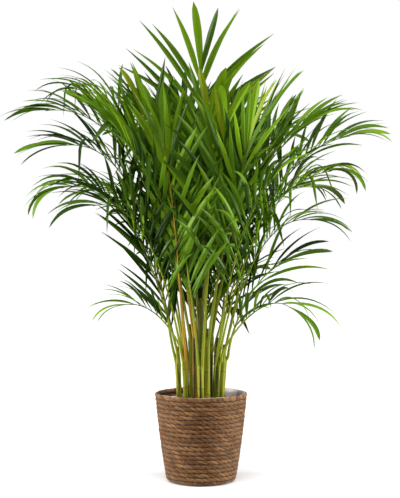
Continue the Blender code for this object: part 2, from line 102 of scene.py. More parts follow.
# frond: its cane, the compass angle, reach and height of its end, the pitch there, its leaflets' length,
# their droop, the bare share of the rib, the blade's roll, the V of its two sides, the leaflets' width, their
# angle to the rib at the base and the end, and how far apart their pairs stand
def frond(stem, angle, reach, height, pitch, length=0.22, droop=45, bare=0.50, roll=0, raised=32,
          width=0.016, forward=(46, 14), spacing=0.0195):
    return {"stem": stem, "angle": angle, "reach": reach, "height": height, "pitch": pitch,
            "length": length, "droop": droop, "bare": bare, "roll": roll, "raised": raised,
            "width": width, "forward": forward, "spacing": spacing}


fronds = {
    "top": frond("cane_middle", 0, 0.0, 1.105, 86, 0.290, 20, 0.48, -90, 8, 0.019, (44, 7), 0.024),
    "top_left": frond("cane_inner_front_left", 199, 0.170, 0.985, 60, 0.24, 30, 0.44, -15, 25,
                      0.021, (36, 12)),
    "top_behind": frond("cane_inner_back", 112, 0.140, 1.00, 70, 0.25, 20, 0.26, 0, 20, 0.018, (32, 10)),
    "left_high": frond("cane_inner_left", 176, 0.425, 1.00, -8, 0.210, 35, 0.45, 12, width=0.013),
    "left_high_back": frond("cane_back_left", 158, 0.385, 1.075, 5, 0.200, 50, 0.50, width=0.011),
    "left_middle": frond("cane_left", 184, 0.370, 0.90, -8, 0.215, 40, 0.40, 20, width=0.0135),
    "left_low": frond("cane_left", 186, 0.375, 0.785, -18, 0.205, 60, 0.38, 20, width=0.014),
    "left_front_low": frond("cane_front_left", 203, 0.305, 0.735, -14, 0.205, 50, 0.36, width=0.014),
    "left_inner": frond("cane_inner_left", 190, 0.250, 0.96, 42, 0.25, 35, 0.36, 10, 28, 0.020, (36, 12)),
    "left_steep": frond("cane_left", 169, 0.185, 0.68, 58, 0.22, 14, 0.26, 45, 15, 0.015, (28, 9), 0.023),
    "left_foot": frond("cane_front_left", 196, 0.205, 0.475, -10, 0.165, 45, 0.48, width=0.009,
                       spacing=0.028),
    "right_high": frond("cane_inner_front_right", 344, 0.195, 0.985, 55, 0.215, 20, 0.42, -10, 25,
                        0.017, (34, 11)),
    "right_high_back": frond("cane_inner_right", 27, 0.245, 0.96, 60, 0.21, 20, 0.32, 0, 25,
                             0.017, (34, 11)),
    "right_upper": frond("cane_inner_right", 8, 0.300, 0.965, 32, 0.235, 40, 0.40, -15, 30,
                         0.016, (38, 12)),
    "right_arch": frond("cane_right", 3, 0.405, 0.93, 10, 0.215, 40, 0.44, -20, width=0.0135,
                        spacing=0.021),
    "right_front": frond("cane_front_right", 340, 0.360, 0.825, 5, 0.20, 75, 0.40, -10, width=0.012,
                         spacing=0.021),
    "right_middle": frond("cane_right", 352, 0.300, 0.70, -10, 0.20, 45, 0.40, -15, width=0.012,
                          spacing=0.022),
    "right_low": frond("cane_right", 356, 0.215, 0.585, 32, 0.235, 42, 0.30, -30, 15,
                       0.014, (36, 12), 0.026),
    "right_foot": frond("cane_front_right", 332, 0.262, 0.470, -38, 0.20, 68, 0.46, width=0.012,
                        spacing=0.025),
    "front_high": frond("cane_inner_front_right", 277, 0.150, 0.945, 76, 0.25, 18, 0.42, 10, 15,
                        0.022, (32, 10)),
    "front_left": frond("cane_front_left", 243, 0.210, 0.89, 68, 0.25, 20, 0.38, 20, 15, 0.023, (30, 10)),
    "front_right": frond("cane_inner_front_right", 304, 0.220, 0.90, 66, 0.25, 20, 0.42, -20, 15,
                         0.021, (30, 10)),
    "front_arch": frond("cane_front", 284, 0.250, 0.92, 58, 0.23, 25, 0.45, -25, 20, 0.018, (34, 12)),
    "front_arch_left": frond("cane_inner_front_left", 224, 0.280, 0.91, 40, 0.235, 35, 0.38, 20, 25,
                             0.018, (36, 12)),
    "front_low_right": frond("cane_front_right", 310, 0.280, 0.80, 38, 0.22, 40, 0.40, -20, 25,
                             0.015, (38, 12)),
    "front_low": frond("cane_front", 248, 0.160, 0.76, 74, 0.23, 16, 0.40, 25, 15, 0.020, (28, 9)),
    "back_high": frond("cane_inner_back", 70, 0.220, 1.00, 58, 0.24, 30, 0.24, 0, 22, 0.018, (32, 10)),
    "back_high_left": frond("cane_back_left", 128, 0.330, 0.95, 15, 0.22, 40, 0.34, width=0.014),
    "back_high_right": frond("cane_back_right", 48, 0.330, 0.95, 15, 0.22, 40, 0.34, width=0.014),
    "back_arch": frond("cane_back", 96, 0.390, 0.86, -5, 0.21, 45, 0.36, width=0.014),
    "back_arch_right": frond("cane_back_right", 30, 0.370, 0.80, -5, 0.21, 50, 0.34, width=0.013),
    "back_arch_left": frond("cane_back_left", 145, 0.360, 0.79, -8, 0.21, 50, 0.34, width=0.013),
    "back_low": frond("cane_back", 62, 0.220, 0.74, 55, 0.23, 20, 0.14, 0, 20, 0.019, (30, 10)),
    "back_low_left": frond("cane_back", 125, 0.200, 0.72, 58, 0.23, 20, 0.17, 0, 20, 0.019, (30, 10)),
    "back_foot_right": frond("cane_back_right", 58, 0.240, 0.55, 15, 0.19, 45, 0.30, width=0.014),
}


def unit(vectors):
    return vectors / np.maximum(np.linalg.norm(vectors, axis=-1, keepdims=True), 1e-9)


# the direction at a compass angle from +X towards +Y and a pitch above the level, both in degrees
def compass(angle, pitch=0.0):
    turn, climb = np.radians(angle), np.radians(pitch)
    return np.stack([np.cos(turn) * np.cos(climb), np.sin(turn) * np.cos(climb),
                     np.sin(climb) + 0 * turn], axis=-1)


# smooth seeded waves over an angle: a sum of sines with random phases, about -1 to 1
def wavesRound(angle, draw, counts=(2, 3, 5, 8)):
    return wavesAt(angle, draw.uniform(0, 2 * math.pi, len(counts)), counts)


def wavesAt(angle, phases, counts):
    return sum(np.sin(angle * n + phases[..., k]) for k, n in enumerate(counts)) / len(counts)


# Meshes

# quads of a grid of points, joined round in its second direction unless told not to
def gridQuads(rows, columns, ringed=True):
    r, c = np.meshgrid(np.arange(rows - 1), np.arange(columns if ringed else columns - 1), indexing="ij")
    after = (c + 1) % columns
    corners = [r * columns + c, r * columns + after, (r + 1) * columns + after, (r + 1) * columns + c]
    return np.stack(corners, axis=-1).reshape(-1, 4)


def makePiece(name, points, faces, materials, picks=None, uv=None, values=None, sharp=35):
    mesh = bpy.data.meshes.new(name)
    mesh.from_pydata(points.reshape(-1, 3).tolist(), [], [list(face) for face in faces])
    for material in materials:
        mesh.materials.append(material)
    if picks is not None:
        mesh.polygons.foreach_set("material_index", np.asarray(picks, dtype=np.int32))
    if uv is not None:
        corners = np.empty(len(mesh.loops), dtype=np.int32)
        mesh.loops.foreach_get("vertex_index", corners)
        layer = mesh.uv_layers.new(name="along")
        layer.data.foreach_set("uv", uv.reshape(-1, 2)[corners].ravel())
    for key, numbers in (values or {}).items():
        layer = mesh.attributes.new(key, "FLOAT", "POINT")
        layer.data.foreach_set("value", numbers.ravel().astype(np.float32))
    mesh.shade_smooth()
    mesh.set_sharp_from_angle(angle=math.radians(sharp))
    mesh.update()
    piece = bpy.data.objects.new(name, mesh)
    bpy.context.scene.collection.objects.link(piece)
    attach(piece, "root")
    return piece


# Materials

# a shared group: soft spots at a scale, from noise on the piece's own object coordinates
def spotGroup():
    group = bpy.data.node_groups.new("surfaceSpots", "ShaderNodeTree")
    for key, value in (("Scale", 60.0), ("Low", 0.4), ("High", 0.6), ("Stretch", 1.0)):
        socket = group.interface.new_socket(name=key, in_out="INPUT", socket_type="NodeSocketFloat")
        socket.default_value = value
    group.interface.new_socket(name="Value", in_out="OUTPUT", socket_type="NodeSocketFloat")
    nodes, links = group.nodes, group.links
    given, out = nodes.new("NodeGroupInput"), nodes.new("NodeGroupOutput")
    coords, scaled = nodes.new("ShaderNodeTexCoord"), nodes.new("ShaderNodeVectorMath")
    joined, noise, spread = nodes.new("ShaderNodeCombineXYZ"), nodes.new("ShaderNodeTexNoise"), \
        nodes.new("ShaderNodeMapRange")
    scaled.operation = "MULTIPLY"
    joined.inputs["X"].default_value = joined.inputs["Y"].default_value = 1.0
    links.new(given.outputs["Stretch"], joined.inputs["Z"])
    links.new(coords.outputs["Object"], scaled.inputs[0])
    links.new(joined.outputs["Vector"], scaled.inputs[1])
    links.new(scaled.outputs["Vector"], noise.inputs["Vector"])
    links.new(given.outputs["Scale"], noise.inputs["Scale"])
    noise.inputs["Detail"].default_value = 3.0
    links.new(noise.outputs["Fac"], spread.inputs["Value"])
    spread.inputs["From Min"].default_value = 0.3
    spread.inputs["From Max"].default_value = 0.7
    links.new(given.outputs["Low"], spread.inputs["To Min"])
    links.new(given.outputs["High"], spread.inputs["To Max"])
    links.new(spread.outputs["Result"], out.inputs["Value"])
    return group


surfaceSpots = spotGroup()


# a Principled material whose roughness wanders between two values and whose bump follows fine spots
def makeMaterial(name, colour, roughness, spotScale=60.0, bump=0.15, bumpScale=400.0, stretch=1.0,
                 bumpDistance=0.0005, gloss=0.35):
    material = bpy.data.materials.new(name)
    material.use_nodes = True
    nodes, links = material.node_tree.nodes, material.node_tree.links
    shader = nodes["Principled BSDF"]
    shader.inputs["Base Color"].default_value = (*colour, 1)
    shader.inputs["Specular IOR Level"].default_value = gloss
    rough, fine = nodes.new("ShaderNodeGroup"), nodes.new("ShaderNodeGroup")
    relief = nodes.new("ShaderNodeBump")
    rough.node_tree = fine.node_tree = surfaceSpots
    low, high = roughness
    for key, value in (("Scale", spotScale), ("Low", low), ("High", high), ("Stretch", stretch)):
        rough.inputs[key].default_value = value
    for key, value in (("Scale", bumpScale), ("Low", 0.0), ("High", 1.0), ("Stretch", stretch)):
        fine.inputs[key].default_value = value
    relief.inputs["Strength"].default_value = bump
    relief.inputs["Distance"].default_value = bumpDistance
    links.new(rough.outputs["Value"], shader.inputs["Roughness"])
    links.new(fine.outputs["Value"], relief.inputs["Height"])
    links.new(relief.outputs["Normal"], shader.inputs["Normal"])
    return material


# mixes a colour into what feeds Base Color, by an attribute or a spot group, between two thresholds
def mixColour(material, colour, source, low=0.0, high=1.0):
    nodes, links = material.node_tree.nodes, material.node_tree.links
    base = nodes["Principled BSDF"].inputs["Base Color"]
    mix, spread = nodes.new("ShaderNodeMix"), nodes.new("ShaderNodeMapRange")
    mix.data_type = "RGBA"
    if base.is_linked:
        links.new(base.links[0].from_socket, mix.inputs["A"])
    else:
        mix.inputs["A"].default_value = base.default_value[:]
    mix.inputs["B"].default_value = (*colour, 1)
    if isinstance(source, str):
        read = nodes.new("ShaderNodeAttribute")
        read.attribute_name = source
        links.new(read.outputs["Fac"], spread.inputs["Value"])
    else:
        read = nodes.new("ShaderNodeGroup")
        read.node_tree = surfaceSpots
        read.inputs["Scale"].default_value, read.inputs["Stretch"].default_value = source
        read.inputs["Low"].default_value = 0.0
        read.inputs["High"].default_value = 1.0
        links.new(read.outputs["Value"], spread.inputs["Value"])
    spread.inputs["From Min"].default_value = low
    spread.inputs["From Max"].default_value = high
    links.new(spread.outputs["Result"], mix.inputs["Factor"])
    links.new(mix.outputs["Result"], base)


# the bright and the deep greens are painted light and painted shade: lit and shaded copies of one leaf green
leafColours = {
    "leafLitBright": (0.150, 0.290, 0.004),
    "leafFresh": (0.088, 0.190, 0.003),
    "leafMid": (0.044, 0.108, 0.002),
    "leafShadedDeep": (0.017, 0.048, 0.001),
    # painted sheen: this grey green stands in for a glossy reflection on a few leaflets, dealt at random
    "leafGreyGreenSheen": (0.070, 0.112, 0.018),
    "leafYellowGreen": (0.230, 0.300, 0.006),
}
ribColours = {
    "ribGreen": (0.105, 0.190, 0.008),
    "ribYellowGreen": (0.230, 0.270, 0.015),
    "ribOrange": (0.420, 0.220, 0.020),
}
leafMaterials = [makeMaterial(name, colour, (0.34, 0.52), 70.0, 0.25, 260.0, bumpDistance=0.0004,
                              gloss=0.12) for name, colour in leafColours.items()]
ribMaterials = [makeMaterial(name, colour, (0.35, 0.50), 90.0, 0.2, 350.0, 0.15, gloss=0.14)
                for name, colour in ribColours.items()]

rope = makeMaterial("ropeSeagrass", (0.135, 0.052, 0.018), (0.60, 0.85), 120.0, 0.7, 900.0, 3.0, 0.0009,
                    gloss=0.06)
mixColour(rope, (0.330, 0.170, 0.072), "tone", 0.15, 1.0)
# partly painted light: random pale and dark specks give the fibres' own varied tone and also stand in for
# small highlights and shaded gaps
mixColour(rope, (0.480, 0.300, 0.160), (330.0, 2.0), 0.55, 1.25)
mixColour(rope, (0.055, 0.020, 0.007), (210.0, 2.4), 0.60, 1.05)
# painted shade: near black mixed in by the groove attribute, in the hollows between rows and strands, on the
# rim's dents and over the inner wall
mixColour(rope, (0.016, 0.006, 0.002), "groove", 0.12, 0.75)
ropeShader = rope.node_tree.nodes["Principled BSDF"]
ropeShader.inputs["Sheen Weight"].default_value = 0.35
ropeShader.inputs["Sheen Roughness"].default_value = 0.30
ropeShader.inputs["Sheen Tint"].default_value = (1.0, 0.86, 0.68, 1)
# painted light and shade: the film's darker base colour is painted shade down inside the basket, its pale
# colour painted light where it laps over the rim
film = makeMaterial("linerFilmPaintedLight", (0.260, 0.200, 0.190), (0.30, 0.45), 50.0, 0.3, 120.0)
mixColour(film, (0.780, 0.690, 0.630), "lip", 0.0, 1.0)
compost = makeMaterial("compost", (0.030, 0.019, 0.012), (0.85, 1.0), 120.0, 0.8, 500.0, 1.0, 0.002)
mixColour(compost, (0.090, 0.050, 0.026), (160.0, 1.0), 0.45, 0.9)
bark = makeMaterial("barkChip", (0.085, 0.045, 0.024), (0.80, 0.95), 150.0, 0.6, 600.0, 1.0, 0.001)
caneColours = {
    "caneYellow": (0.235, 0.250, 0.006),
    "caneOlive": (0.085, 0.105, 0.004),
    "caneOrange": (0.300, 0.150, 0.006),
}
caneSkins = [makeMaterial(name, colour, (0.30, 0.50), 70.0, 0.25, 300.0, 0.12, gloss=0.14)
             for name, colour in caneColours.items()]
for skin in caneSkins:
    mixColour(skin, (0.230, 0.130, 0.012), (28.0, 0.25), 0.55, 1.1)
    mixColour(skin, (0.024, 0.034, 0.002), (120.0, 0.05), 0.40, 0.75)
    mixColour(skin, (0.080, 0.060, 0.010), "scar", 0.3, 1.6)
print("materials made")


# The basket: its outer radius is an even taper with a slight belly and a round foot
def basketRadius(height):
    share = height / basket["height"]
    taper, curve = basket["rimRadius"] - basket["footRadius"], basket["footRounding"]
    under = np.clip(1 - height / curve, 0, 1)
    return (basket["footRadius"] + taper * share + basket["belly"] * np.sin(np.pi * np.clip(share, 0, 1))
            - curve * (1 - np.sqrt(1 - under ** 2)))


# One closed skin turned about the middle. The outline runs out along the underside, up the outer wall, over
# the rim, down the inner wall and in along the inside floor. Each rope row is a half round, and its grid
# slants round the basket with the strands, so that a strand's edge follows a column of points:
# angle = column - slant * height
# depth = rowDepth * (1 - half round) + strandDepth * dent - the strand's stray
def makeBasket():
    draw = np.random.default_rng(11)
    rows, around, wall = basket["rows"], basket["samplesRound"], basket["wall"]
    pitch = basket["height"] / rows
    girth = np.pi * (basket["rimRadius"] + basket["footRadius"])
    strands = round(girth / basket["strandLength"])
    row = np.repeat(np.arange(rows), len(basket["inRow"]))
    inRow = np.tile(basket["inRow"], rows)
    below = (row < rows - 1) | (inRow < 0.5)
    row, inRow = row[below], inRow[below]
    column = np.linspace(0, 2 * np.pi, around, endpoint=False)
    slant = basket["strandSlant"] * 2 * np.pi / strands * (row + inRow)
    angle = column - slant[:, None]

    # the edges between rows sway a little, in slow and fast waves
    slow, fast = (2, 5, 9), (35, 40, 47)
    phases = draw.uniform(0, 2 * np.pi, (2, rows + 1, 1, 3))
    held = np.ones((rows + 1, 1))
    held[0] = held[-1] = 0

    def sway(edge):
        return held[edge] * (basket["slowSway"] * wavesAt(angle, phases[0][edge], slow)
                             + basket["fastSway"] * wavesAt(angle, phases[1][edge], fast))

    flat = (row + inRow) * pitch
    height = flat[:, None] + sway(row) * (1 - inRow[:, None]) + sway(row + 1) * inRow[:, None]
    half = np.sqrt(1 - (2 * inRow - 1) ** 2)[:, None]
    drift = draw.uniform(0, 2 * np.pi, (rows, 1, 4))[row]
    wander = wavesAt(angle, drift, (3, 7, 13, 19)) * basket["wander"]
    strand = column / (2 * np.pi) * strands + draw.uniform(0, strands, rows)[row][:, None] + wander
    dent = 1 - np.abs(np.sin(np.pi * strand)) ** 0.6
    which = np.floor(strand).astype(int) % strands
    stray = draw.uniform(-1, 1, (rows, strands))[row[:, None], which]
    tones = draw.beta(2.0, 2.6, (rows, strands))[row[:, None], which]
    depth = (basket["rowDepth"] * (1 - half) + basket["strandDepth"] * dent * (0.3 + 0.7 * half)
             - basket["strandStray"] * stray * half)
    radius = basketRadius(flat)[:, None] - depth

    underShare = np.linspace(0.02, 1, basket["underRings"])[:, None]
    underRadius = underShare * (basketRadius(0.0) - basket["underInset"]) + 0 * column
    underRow = 1 - np.abs(np.sin(np.pi * underShare * basket["underRows"]))
    underHeight = basket["underDepth"] * underRow ** 2 + 0 * column
    underAngle = np.repeat(column[None, :], len(underShare), axis=0)

    turn = np.radians(basket["rimTurns"])[:, None]
    rimSize = (wall / 2 - basket["rimDent"] * dent[-1] * np.sin(np.clip(turn, 0, np.pi))
               + basket["rimStray"] * stray[-1])
    rimRadius = basketRadius(basket["height"]) - wall / 2 + rimSize * np.cos(turn)
    rimHeight = basket["height"] - wall / 2 + rimSize * np.sin(turn)
    innerHeight = np.concatenate([
        np.linspace(basket["height"] - wall, soil["top"] - 0.012, basket["innerRings"]),
        [0.12, 0.04, basket["floor"] + 0.004, basket["floor"], basket["floor"]]])
    innerGroove = 1 - np.abs(np.sin(np.pi * innerHeight / pitch))
    innerRadius = basketRadius(innerHeight) - wall + basket["innerRowDepth"] * innerGroove
    innerRadius[-2:] = innerRadius[-3] - 0.006, 0.002
    topAngle = np.repeat(angle[-1:], len(turn) + len(innerHeight), axis=0)

    def spread(values):
        return np.repeat(values[:, None], around, axis=1)

    radius = np.concatenate([underRadius, radius, rimRadius, spread(innerRadius)])
    height = np.concatenate([underHeight, height, rimHeight, spread(innerHeight)])
    angle = np.concatenate([underAngle, angle, topAngle])
    # painted shade: groove is high between rows, in the strand dents, on the rim's dents and all down the
    # inner wall
    groove = np.zeros_like(radius)
    tone = np.full_like(radius, 0.35)
    first, last = len(underShare), len(underShare) + len(row)
    groove[first:last] = np.clip((1 - half) ** 1.3 * 0.85 + dent * 0.5, 0, 1)
    groove[last:last + len(turn)] = dent[-1] * 0.6
    groove[last + len(turn):] = np.minimum(innerGroove + 0.25, 1)[:, None]
    tone[first:last] = tones
    tone[last:last + len(turn)] = tones[-1]
    points = np.stack([radius * np.cos(angle), radius * np.sin(angle), np.maximum(height, 0)], axis=-1)
    faces = [list(quad) for quad in gridQuads(len(radius), around)]
    end = (len(radius) - 1) * around
    faces.append(list(range(around))[::-1])
    faces.append(list(range(end, end + around)))
    values = {"groove": groove, "tone": tone}
    piece = makePiece("basketRope", points, faces, [rope], values=values, sharp=80)
    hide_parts("basket")


# The liner: a thin crumpled film that lines the wall from below the soil and laps over the rim by a
# wandering length, less where it dips at the back left. On the rim it follows the rim:
# radius = rim middle - size * cos(turn), height = rim middle + size * sin(turn)
def makeLiner():
    draw = np.random.default_rng(12)
    angle = np.linspace(0, 2 * np.pi, 300, endpoint=False)
    low, high = liner["lip"]
    lip = low + (high - low) * (0.5 + 0.5 * wavesRound(angle, draw, (1, 2, 5)))
    lip = lip + liner["fray"] * wavesRound(angle, draw, (17, 29, 41))
    lip = lip - liner["dip"] * np.exp(-((np.degrees(angle) - liner["dipAt"]) / liner["dipWidth"]) ** 2)
    middle, bend = basket["height"] - basket["wall"] / 2, basket["wall"] / 2 + liner["overRim"]
    share = np.linspace(0, 1, 8)[:, None]
    turn = np.maximum(lip / bend, 0.0) * (1 - share)
    below = np.maximum(-lip, 0)
    sunk = below + liner["tuck"] * np.clip(1 + lip / 0.001, 0, 1)
    down = sunk + (middle - liner["low"] - sunk) * np.array(liner["down"])[:, None]
    crumple = wavesRound(angle, draw, (5, 11, 17, 29)) * liner["crumple"]

    def skin(out):
        lapRadius = basketRadius(basket["height"]) - basket["wall"] / 2 - (bend + out) * np.cos(turn)
        lapHeight = middle + (bend + out + 0.3 * crumple) * np.sin(turn) - below * (1 - share * 0.02)
        wallRadius = basketRadius(middle - down) - basket["wall"] - liner["gap"] - out
        wallRadius = wallRadius + crumple * np.clip(down / 0.01, 0, 1)
        return np.concatenate([lapRadius, wallRadius]), np.concatenate([lapHeight, middle - down])

    (outRadius, outHeight), (inRadius, inHeight) = skin(0.0), skin(liner["wall"])
    radius = np.concatenate([outRadius[::-1], inRadius])
    level = np.concatenate([outHeight[::-1], inHeight])
    points = np.stack([radius * np.cos(angle), radius * np.sin(angle), level], axis=-1)
    quads = gridQuads(len(radius) + 1, len(angle)) % (len(radius) * len(angle))
    # painted light: the film is palest at the lap's outer edge over the rim and fades to the darker painted
    # shade a little way down inside
    paintedLight = np.concatenate([1 - share * 0.5, np.array(liner["paintedLightBelow"])[:, None]]) + 0 * angle
    values = {"lip": np.concatenate([paintedLight[::-1], paintedLight])}
    piece = makePiece("linerEdge", points, quads, [film], values=values, sharp=60)
    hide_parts("liner")


# The soil: a disc whose height is level plus seeded waves in both directions, closed underneath
def makeSoil():
    draw = np.random.default_rng(13)
    angle = np.linspace(0, 2 * np.pi, 120, endpoint=False)
    share = np.linspace(0.01, 1, 30)[:, None]
    reach = basketRadius(soil["top"]) - basket["wall"] - liner["gap"] - soil["edgeGap"]
    radius = reach * share + 0 * angle
    lumps = sum(wavesRound(angle * k + 9 * share, draw, (2, 5, 9)) * np.sin(share * 14 * k + k)
                for k in (1, 2, 3))
    level = soil["top"] - soil["sunk"] + soil["lumps"] * lumps * share * 0.6
    radius = np.concatenate([radius, np.repeat([[reach], [0.001]], len(angle), 1)])
    level = np.concatenate([level, np.full((2, len(angle)), soil["bottom"])])
    points = np.stack([radius * np.cos(angle), radius * np.sin(angle), level], axis=-1)
    quads = gridQuads(len(radius), len(angle))[:, ::-1]
    last = (len(radius) - 1) * len(angle)
    faces = [list(quad) for quad in quads]
    faces += [list(range(len(angle))), list(range(last, last + len(angle)))[::-1]]
    piece = makePiece("soilTop", points, faces, [compost], sharp=70)
    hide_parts("soil")
    makeChips(draw, reach)


# Bark chips: boxes with jittered corners, turned at random and strewn over the soil
def makeChips(draw, reach):
    count = soil["chips"]
    square = ((-1.0, -1.0), (1.0, -1.0), (1.0, 1.0), (-1.0, 1.0))
    box = np.array([(x, y, z) for z in (-1.0, 1.0) for x, y in square])
    size = soil["chipLength"] / 2 * draw.uniform(0.4, 1.0, (count, 1, 1)) * np.array([1.0, 0.55, 0.22])
    corners = box * size * draw.uniform(0.7, 1.15, (count, 8, 3))
    turn, tip = draw.uniform(0, 2 * np.pi, (count, 1)), draw.normal(0, 0.35, (count, 1))
    x, y, z = corners[..., 0], corners[..., 1], corners[..., 2]
    y, z = y * np.cos(tip) - z * np.sin(tip), y * np.sin(tip) + z * np.cos(tip)
    x, y = x * np.cos(turn) - y * np.sin(turn), x * np.sin(turn) + y * np.cos(turn)
    place = draw.uniform(0, 2 * np.pi, (count, 1))
    out = (reach - 0.006) * np.sqrt(draw.uniform(0.01, 1, (count, 1)))
    points = np.stack([x + out * np.cos(place), y + out * np.sin(place), z + soil["top"] + 0.001], axis=-1)
    one = np.array([(0, 3, 2, 1), (4, 5, 6, 7), (0, 1, 5, 4), (1, 2, 6, 5), (2, 3, 7, 6), (3, 0, 4, 7)])
    quads = (one[None] + 8 * np.arange(count)[:, None, None]).reshape(-1, 4)
    piece = makePiece("barkChips", points, quads, [bark], sharp=20)


# Canes

def caneEnds(name):
    angle, distance, top = canes[name]
    out = compass(angle) * distance
    return out + [0, 0, soil["top"]], out * (1 + cane["lean"]) + [0, 0, top]


caneTints = {"cane_inner_front_left": 2, "cane_front_left": 0, "cane_front": 0, "cane_inner_back": 2}


# Each cane is level rings up a nearly straight line: a flared foot, a waist, a wider top and a leaf sleeve.
# radius = outline(height) + ringHeight * exp(-(distance to the nearest ring / ringWidth) ^ 2)
def makeCanes():
    draw = np.random.default_rng(14)
    turn = np.linspace(0, 2 * np.pi, cane["sides"], endpoint=False)
    allPoints, allQuads, allScars, picks = [], [], [], []
    for index, name in enumerate(canes):
        foot, top = caneEnds(name)
        foot = foot - [0, 0, cane["sunk"]]
        length = top[2] - foot[2]
        height = np.linspace(0, length + cane["sleeve"], cane["samples"])
        flareHeight, flareRadius = cane["flare"]
        outline = np.interp(
            height, [0, flareHeight, cane["waistHeight"], length * 0.85, length, length + cane["sleeve"]],
            [cane["foot"], flareRadius, cane["waist"], cane["waist"], cane["top"], cane["sleeveEnd"]])
        spacing = cane["ringSpacing"] * draw.uniform(0.8, 1.25)
        offset = draw.uniform(0, spacing)
        away = np.abs((height - offset + spacing / 2) % spacing - spacing / 2)
        scar = np.exp(-(away / cane["ringWidth"]) ** 2) * (height < length - 0.01)
        edge = np.exp(-((height - length) / cane["edgeWidth"]) ** 2) * 0.6
        radius = outline + cane["ringHeight"] * scar + cane["edgeHeight"] * edge
        oval = 1 + 0.06 * np.cos(2 * turn + draw.uniform(0, 6))
        oval = oval + 0.03 * np.cos(3 * turn + draw.uniform(0, 6))
        middle = foot + (top - foot) * (height / length)[:, None]
        bow = np.sin(np.pi * np.clip(height / length, 0, 1)) * cane["bow"]
        middle = middle + compass(draw.uniform(0, 360)) * bow[:, None]
        ring = np.stack([np.cos(turn), np.sin(turn), 0 * turn], axis=-1)
        points = middle[:, None, :] + ring * (radius[:, None] * oval)[:, :, None]
        base = index * len(height) * len(turn)
        quads = gridQuads(len(height), len(turn)) + base
        allPoints.append(points.reshape(-1, 3))
        allQuads += [list(quad) for quad in quads]
        last = base + (len(height) - 1) * len(turn)
        allQuads.append(list(range(base, base + len(turn)))[::-1])
        allQuads.append(list(range(last, last + len(turn))))
        allScars.append(np.repeat(np.maximum(scar, edge), len(turn)))
        picks += [caneTints.get(name, index % 2)] * (len(quads) + 2)
    piece = makePiece("caneStems", np.concatenate(allPoints), allQuads, caneSkins, picks,
                      values={"scar": np.concatenate(allScars)}, sharp=70)
    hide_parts(*canes)


# Ribs

# the way from a cane's middle to where a frond leaves its top, which its fronds share out evenly
def stalkOffset(name):
    stem = fronds[name]["stem"]
    angle = canes[stem][0]
    turns = {mate: (other["angle"] - angle + 180) % 360 - 180 for mate, other in fronds.items()
             if other["stem"] == stem}
    if len(turns) == 1:
        return np.zeros(3)
    place = sorted(turns, key=turns.get).index(name) - (len(turns) - 1) / 2
    return compass(angle + sum(turns.values()) / len(turns) + 360 * place / len(turns)) * stalk["offset"]


# a cubic curve that leaves the cane's direction a little towards its own side and ends in its own
# direction, as evenly spaced points:
# (1-t)^3 start + 3(1-t)^2 t near + 3(1-t) t^2 far + t^3 end
def ribPath(name):
    leaf = fronds[name]
    foot, top = caneEnds(leaf["stem"])
    start = top + [0, 0, stalk["gap"]] + stalkOffset(name)
    end = compass(leaf["angle"]) * leaf["reach"] + [0, 0, leaf["height"]]
    chord = np.linalg.norm(end - start)
    leaving = unit(unit(top - foot) + stalk["spread"] * compass(leaf["angle"]))
    near = start + leaving * chord * stalk["startHandle"]
    far = end - compass(leaf["angle"], leaf["pitch"]) * chord * stalk["endHandle"]
    t = np.linspace(0, 1, 4 * stalk["points"])[:, None]
    curve = (1 - t) ** 3 * start + 3 * (1 - t) ** 2 * t * near + 3 * (1 - t) * t ** 2 * far + t ** 3 * end
    walked = np.concatenate([[0], np.cumsum(np.linalg.norm(np.diff(curve, axis=0), axis=1))])
    even = np.linspace(0, walked[-1], stalk["points"])
    return np.stack([np.interp(even, walked, curve[:, axis]) for axis in range(3)], axis=1)


def ribRadius(share):
    return stalk["radius"] + (stalk["endRadius"] - stalk["radius"]) * share ** 0.8


# push the ribs off each other and off the canes a little at a time, with their starts held
def easeApart(paths):
    share = np.linspace(0, 1, stalk["points"])
    radius = stalk["radius"] + (easing["endRadius"] - stalk["radius"]) * share ** 0.8
    hold = np.clip((share - easing["heldStart"]) / (easing["easedFrom"] - easing["heldStart"]), 0, 1)
    rows = np.arange(stalk["points"])
    lines = list(paths)
    for name in canes:
        foot, top = caneEnds(name)
        lines.append(foot + (top - foot) * share[:, None])
    widths = [radius] * len(paths) + [np.full(stalk["points"], cane["top"])] * len(canes)

    def nearest(i, j):
        apart = lines[i][:, None, :] - lines[j][None, :, :]
        squares = np.einsum("abk,abk->ab", apart, apart)
        near = squares.argmin(axis=1)
        return apart[rows, near], np.sqrt(squares[rows, near]), widths[j][near]

    close = [(i, j) for i in range(len(paths)) for j in range(len(lines))
             if i != j and nearest(i, j)[1].min() < easing["reach"]]
    for _ in range(easing["rounds"]):
        pushes = [np.zeros_like(path) for path in paths]
        for i, j in close:
            apart, far, width = nearest(i, j)
            short = np.clip(radius + width + easing["clearance"] - far, 0, None) * hold
            along = unit(np.gradient(lines[i], axis=0))
            across = apart - (apart * along).sum(axis=1)[:, None] * along
            across = across + compass(easing["ownTurn"] * i) * 1e-6
            pushes[i] += unit(across) * short[:, None] * 0.5
        for i, push in enumerate(pushes):
            for _ in range(4):
                push[1:-1] = push[1:-1] * 0.5 + (push[:-2] + push[2:]) * 0.25
            lines[i] = lines[i] + push * np.sqrt(hold)[:, None]
        if max(np.abs(push).max() for push in pushes) < easing["done"]:
            break
    return lines[:len(paths)]


# along the rib, to its right side and to its upper side, at every point
def ribFrame(path, leaf):
    along = unit(np.gradient(path, axis=0))
    level = compass(leaf["angle"] - 90)
    side = unit(level - (along @ level)[:, None] * along)
    upper = np.cross(side, along)
    turn = math.radians(leaf["roll"])
    right = side * math.cos(turn) + upper * math.sin(turn)
    return along, right, upper * math.cos(turn) - side * math.sin(turn)


orangeRibs = ("top_left", "front_left")


